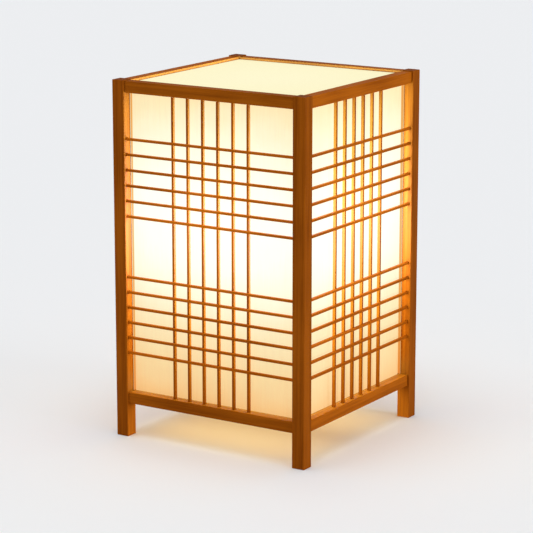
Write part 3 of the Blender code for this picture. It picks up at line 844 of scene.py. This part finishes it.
# Bulb
# An opal glass envelope cemented into a rolled, nickel-plated screw cap, with a black glass insulator and
# a soldered contact button below.
CAP_THREAD_DEPTH = 0.0008
CAP_FLANGE = 0.003
CAP_FOOT = 0.002
CAP_CONE = 0.0022
CAP_CONE_INSIDE = 0.0025
CAP_WAIST = 0.0006
CAP_WAIST_INSIDE = 0.001
CAP_COLLAR = 0.0035
BULB_RADIUS = 0.030
BULB_WALL = 0.0009
NECK_RADIUS = 0.0123
NECK_TO_BALL = math.radians(35)
NECK_STEPS = 10
BALL_STEPS = 24
THROAT_GAP = 0.0003
OPAL_GLOW = [(0.0, (0.55, 0.38, 0.2)), (0.35, (1.0, 0.86, 0.62)), (1.0, (1.0, 0.92, 0.74))]
OPAL_GLOW_LEVEL = 1.4
OPAL_CLOUD_SCALE = 70.0
OPAL_TONES = [(0.3, (0.84, 0.83, 0.79)), (0.7, (0.89, 0.88, 0.85))]
OPAL_ROUGHNESS = 0.22
bulb_cap_low, bulb_cap_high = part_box("bulb_cap")
cap_radius = bulb_cap_high.x
cap_throat = cap_radius - CAP_FLANGE
cap_foot_top = bulb_cap_low.z + CAP_FOOT
cap_collar_low = bulb_cap_high.z - CAP_COLLAR
cap_thread = rolled_thread("bulb_cap_rolled", cap_radius, CAP_THREAD_DEPTH, cap_foot_top, cap_collar_low)
cap_foot = turn_profile(
    "cap_foot",
    [
        (cap_throat, bulb_cap_low.z),
        (cap_radius - CAP_CONE, bulb_cap_low.z),
        (cap_radius - CAP_WAIST, cap_foot_top),
        (cap_radius - CAP_WAIST, cap_foot_top + SHEET),
        (cap_radius - CAP_WAIST_INSIDE, cap_foot_top + SHEET),
        (cap_radius - CAP_WAIST_INSIDE, cap_foot_top),
        (cap_radius - CAP_CONE_INSIDE, bulb_cap_low.z + SHEET),
        (cap_throat, bulb_cap_low.z + SHEET),
        (cap_throat, bulb_cap_low.z),
    ],
)
cap_collar = turn_profile(
    "cap_collar",
    [
        (cap_radius - SHEET, cap_collar_low - SHEET),
        (cap_radius, cap_collar_low - SHEET),
        (cap_radius, bulb_cap_high.z - SHEET),
        (cap_radius - SHEET / 2, bulb_cap_high.z),
        (cap_radius - SHEET, bulb_cap_high.z),
        (cap_radius - SHEET, cap_collar_low - SHEET),
    ],
)
bulb_cap = join_pieces(cap_thread, cap_foot, cap_collar)
nickel_plate = brushed_metal("cap_nickel_plate", colour=(0.62, 0.60, 0.55), roughness=0.26)
finish_piece(bulb_cap, nickel_plate, "bulb", "bulb_cap")

glass_low, glass_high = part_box("bulb_glass")
ball_middle = glass_high.z - BULB_RADIUS
throat = bulb_cap_high.z + THROAT_GAP


def envelope_line(inset):
    """The envelope's profile from its neck up to the axis, drawn in by a given amount."""
    ball = BULB_RADIUS - inset
    neck = NECK_RADIUS - inset
    line = [(neck, glass_low.z), (neck, throat)]
    ball_radius = ball * math.cos(NECK_TO_BALL)
    rise = ball_middle - ball * math.sin(NECK_TO_BALL) - throat
    lean = math.tan(NECK_TO_BALL)
    for step in range(1, NECK_STEPS):
        t = step / NECK_STEPS
        blend = neck * (2 * t**3 - 3 * t**2 + 1) + ball_radius * (3 * t**2 - 2 * t**3)
        line.append((blend + rise * lean * (t**3 - t**2), throat + rise * t))
    sweep = math.pi / 2 + NECK_TO_BALL
    for step in range(BALL_STEPS + 1):
        angle = -NECK_TO_BALL + sweep * step / BALL_STEPS
        line.append((max(ball * math.cos(angle), 0), ball_middle + ball * math.sin(angle)))
    return line


glass_line = envelope_line(0) + envelope_line(BULB_WALL)[::-1]
bulb_glass = turn_profile("opal_bulb_glass", glass_line + glass_line[:1])
opal, opal_tree, opal_shader = start_material("bulb_opal_lit")
opal_place = object_place(opal_tree)
opal_height = add_node(opal_tree, "SeparateXYZ", Vector=opal_place).outputs[Z]
opal_level = add_node(opal_tree, "MapRange", Value=opal_height, From_Min=throat, From_Max=glass_high.z)
opal_glow = ramp(opal_tree, opal_level.outputs["Result"], OPAL_GLOW)
opal_tree.links.new(opal_glow, opal_shader.inputs["Emission Color"])
opal_shader.inputs["Emission Strength"].default_value = OPAL_GLOW_LEVEL
opal_cloud = add_noise(opal_tree, opal_place, OPAL_CLOUD_SCALE)
opal_tree.links.new(ramp(opal_tree, opal_cloud, OPAL_TONES), opal_shader.inputs["Base Color"])
opal_shader.inputs["Roughness"].default_value = OPAL_ROUGHNESS
finish_piece(bulb_glass, opal, "bulb", "bulb_glass")
black_glass = moulded_black("insulator_black_glass", colour=(0.015, 0.015, 0.018), roughness=0.16)
dress("bulb_insulator", black_glass)
tinned = brushed_metal("button_solder_tinned", colour=(0.60, 0.59, 0.57), roughness=0.34, grain_axis=X)
dress("bulb_contact", tinned)

# Glow
# The lit bulb warms the table through the open bottom, and the bright paper lights the wood beside it.
# One lamp shines from round the bulb, and one in the open bottom lights the feet. Sheets of light on the
# side paper and on the top light the frame and the slats, and nothing else.
BULB_TINT = (1.0, 0.63, 0.24)
BULB_WATTS = 0.2
BULB_LIGHT_RADIUS = 1.08 * BULB_RADIUS
FOOT_TINT = (0.88, 1.08, 1.1)
FOOT_WATTS = 0.65
PAPER_FOOT_LIGHT = [(0.0, (0.95, 2.2, 3.6))]
PAPER_LIGHT = [
    (0.07, (0.62, 0.58, 0.14)),
    (0.31, (0.70, 0.76, 0.5)),
    (0.53, (0.74, 0.96, 3.2)),
    (0.73, (0.74, 1.1, 2.6)),
    (1.0, (0.74, 1.25, 1.6)),
]
NO_TINT = (1, 1, 1)
PAPER_WATTS = 3.9
UPRIGHT_TINT = (0.8, 1.14, 1.75)
UPRIGHT_WATTS = 3.3
ROW_WATTS = 1.0
TOP_TINT = (0.6, 1.3, 5.0)
TOP_WATTS = 0.9
WOOD_GLOW_HEIGHT = 0.213
WOOD_GLOW_SPREAD = 0.115
LAMP_GAP = 0.0002
TOP_LAMP_GAP = 0.00005


def gather(name, *starts):
    """A collection of the pieces whose names start with the given words."""
    made = bpy.data.collections.new(name)
    for piece in bpy.data.objects:
        if piece.name.startswith(starts):
            made.objects.link(piece)
    return made


frame_words = ("post_", "top_rail_", "bottom_rail_")
frame_wood = gather("frame_wood", *frame_words)
upright_slats = gather("upright_slats", "upright_slat_")
row_slats = gather("row_slats", "row_slat_")
wood_by_paper = gather("wood_by_paper", *frame_words, "row_slat_", "upright_slat_")


def add_lamp(kind, name, tint, watts, place):
    """A lamp that only its light shows."""
    bpy.ops.object.light_add(type=kind)
    lamp = bpy.context.object
    lamp.name = lamp.data.name = name
    lamp.matrix_world = place
    lamp.data.color = tint
    lamp.data.energy = watts
    lamp.visible_camera = False
    lamp.visible_glossy = False
    return lamp


lamp_width = 2 * (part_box("post_front_right")[0].x - LAMP_GAP)
bulb_middle = Matrix.Translation((0, 0, ball_middle))
bulb_light = add_lamp("POINT", "bulb_light", BULB_TINT, BULB_WATTS, bulb_middle)
bulb_light.data.shadow_soft_size = BULB_LIGHT_RADIUS
opening = Matrix.Translation((0, 0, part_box("bottom_rail_front")[0].z))
foot_light = add_lamp("AREA", "foot_light", FOOT_TINT, FOOT_WATTS, opening)
foot_light.data.size = lamp_width
foot_light.light_linking.receiver_collection = wood_by_paper

sheet_low = margin_low - LAMP_GAP
sheet_height = margin_high + LAMP_GAP - sheet_low
facing_out = Matrix.Rotation(math.pi, 4, "Z") @ Matrix.Rotation(math.pi / 2, 4, "X")
sheet_middle = Matrix.Translation((0, sheet_back - PAPER - LAMP_GAP, sheet_low + sheet_height / 2))


def fade_like_paper(lamp, stops):
    """Makes a sheet of light brightest at the bulb's height, with its colours from foot to head."""
    lamp.data.use_nodes = True
    tree = lamp.data.node_tree
    emission = tree.nodes["Emission"]
    spot = add_node(tree, "SeparateXYZ", Vector=add_node(tree, "NewGeometry").outputs["Parametric"]).outputs
    glow_width = lamp_width * GLOW_NARROWING
    up = calc(tree, "MULTIPLY_ADD", spot[Y], sheet_height, sheet_low - WOOD_GLOW_HEIGHT)
    side = calc(tree, "MULTIPLY_ADD", spot[X], glow_width, -glow_width / 2)
    off = calc(tree, "ADD", calc(tree, "MULTIPLY", up, up), calc(tree, "MULTIPLY", side, side))
    fall = calc(tree, "EXPONENT", calc(tree, "DIVIDE", off, -WOOD_GLOW_SPREAD**2))
    tree.links.new(fall, emission.inputs["Strength"])
    tree.links.new(ramp(tree, spot[Y], stops), emission.inputs["Color"])


for lit_wood, stops, tint, watts in (
    (frame_wood, PAPER_FOOT_LIGHT + PAPER_LIGHT, NO_TINT, PAPER_WATTS),
    (upright_slats, PAPER_LIGHT, UPRIGHT_TINT, UPRIGHT_WATTS),
    (row_slats, PAPER_LIGHT, NO_TINT, ROW_WATTS),
):
    for turns, face in enumerate(FACES):
        name = f"paper_light_{lit_wood.name}_{face}"
        paper_lamp = add_lamp("AREA", name, tint, watts, quarter(turns) @ sheet_middle @ facing_out)
        paper_lamp.data.shape = "RECTANGLE"
        paper_lamp.data.size = lamp_width
        paper_lamp.data.size_y = sheet_height
        paper_lamp.light_linking.receiver_collection = lit_wood
        paper_lamp.light_linking.blocker_collection = wood_by_paper
        fade_like_paper(paper_lamp, stops)

panel_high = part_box("top_panel")[1]
on_panel = Matrix.Translation((0, 0, panel_high.z + TOP_LAMP_GAP)) @ Matrix.Rotation(math.pi, 4, "X")
top_lamp = add_lamp("AREA", "top_light", TOP_TINT, TOP_WATTS, on_panel)
top_lamp.data.size = 2 * panel_high.x
top_lamp.light_linking.receiver_collection = wood_by_paper

# Studio
# A pale matt floor that runs out of sight, under an even pale sky.
# One broad soft light comes in low from the right, and another from overhead.
FLOOR_SIZE = 60
FLOOR_TONE = (0.877, 0.89, 0.904)
FLOOR_ROUGHNESS = 0.9
SKY_TONE = (1.0, 1.0, 1.01)
SKY_LEVEL = 0.62
SOFT_LIGHT_FROM = Vector((0.99, 0.03, 0.05))
SOFT_LIGHT_LEVEL = 1.65
SOFT_LIGHT_SPREAD = math.radians(30)
OVERHEAD_FROM = Vector((0.0, -0.17, 1.0))
OVERHEAD_LEVEL = 0.95
OVERHEAD_SPREAD = math.radians(48)
deselect_all()
bpy.ops.mesh.primitive_plane_add(size=FLOOR_SIZE)
floor = bpy.context.object
floor.name = "floor"
floor_finish, _, floor_shader = start_material("floor_pale")
floor_shader.inputs["Base Color"].default_value = (*FLOOR_TONE, 1)
floor_shader.inputs["Roughness"].default_value = FLOOR_ROUGHNESS
floor_shader.inputs["Specular IOR Level"].default_value = 0.0
floor.data.materials.append(floor_finish)

world = bpy.data.worlds.new("studio")
world.use_nodes = True
sky = world.node_tree.nodes["Background"]
sky.inputs["Color"].default_value = (*SKY_TONE, 1)
sky.inputs["Strength"].default_value = SKY_LEVEL
bpy.context.scene.world = world

for name, source, level, spread in (
    ("soft_light", SOFT_LIGHT_FROM, SOFT_LIGHT_LEVEL, SOFT_LIGHT_SPREAD),
    ("overhead_light", OVERHEAD_FROM, OVERHEAD_LEVEL, OVERHEAD_SPREAD),
):
    bpy.ops.object.light_add(type="SUN")
    studio_light = bpy.context.object
    studio_light.name = studio_light.data.name = name
    studio_light.rotation_euler = (-source).to_track_quat("-Z", "Y").to_euler()
    studio_light.data.energy = level
    studio_light.data.angle = spread
